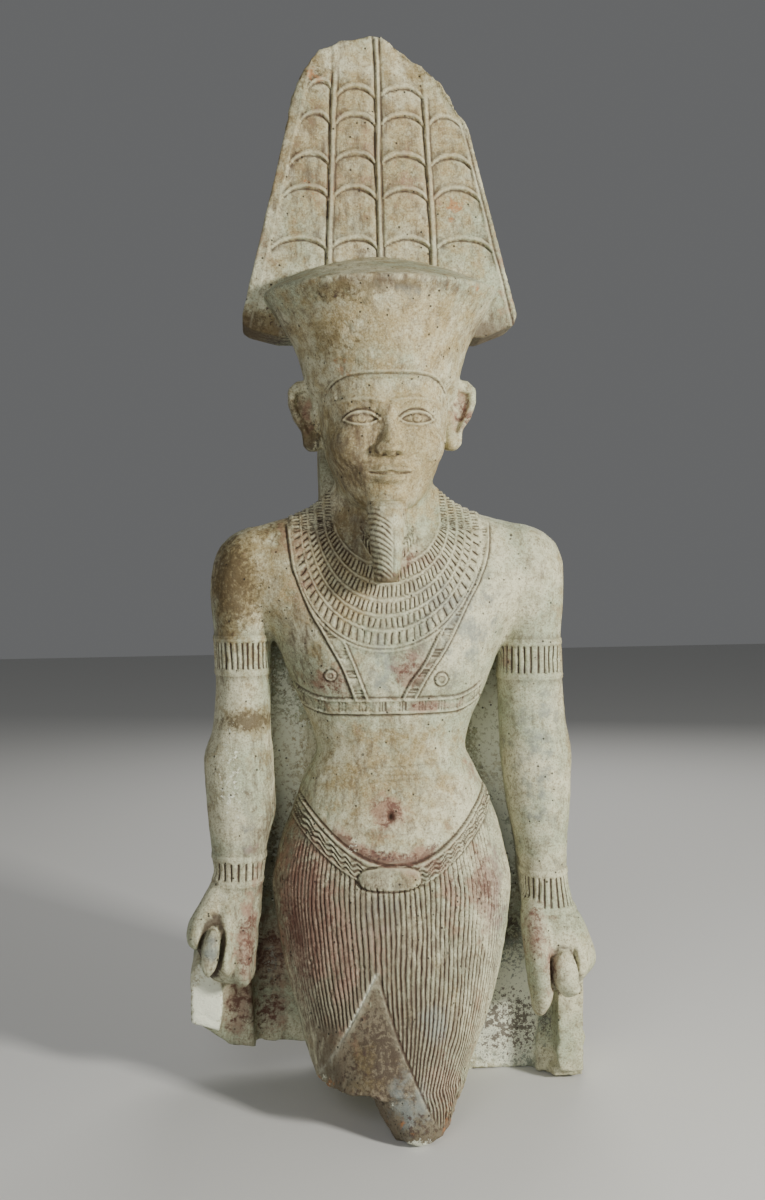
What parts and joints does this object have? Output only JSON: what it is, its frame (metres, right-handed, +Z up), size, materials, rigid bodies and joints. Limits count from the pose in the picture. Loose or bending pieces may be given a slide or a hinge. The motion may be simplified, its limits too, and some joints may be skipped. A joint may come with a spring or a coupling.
{
  "type": "ancient egyptian amun statue fragment",
  "caption": "Carved stone figure of Amun with tall plumes, collar and pleated kilt, arms at the sides, against a back slab, broken at the knees.",
  "frame": {"origin": "under the middle of the bounding box, at the level that the statue stands on", "axes": "+Z up, +X to the viewer's right, the figure faces -Y"},
  "size_m": [0.36, 0.215, 0.934],
  "materials": {
    "limestone": "matte"
  },
  "bodies": {
    "root": {"statue": "limestone"}
  },
  "joints": []
}
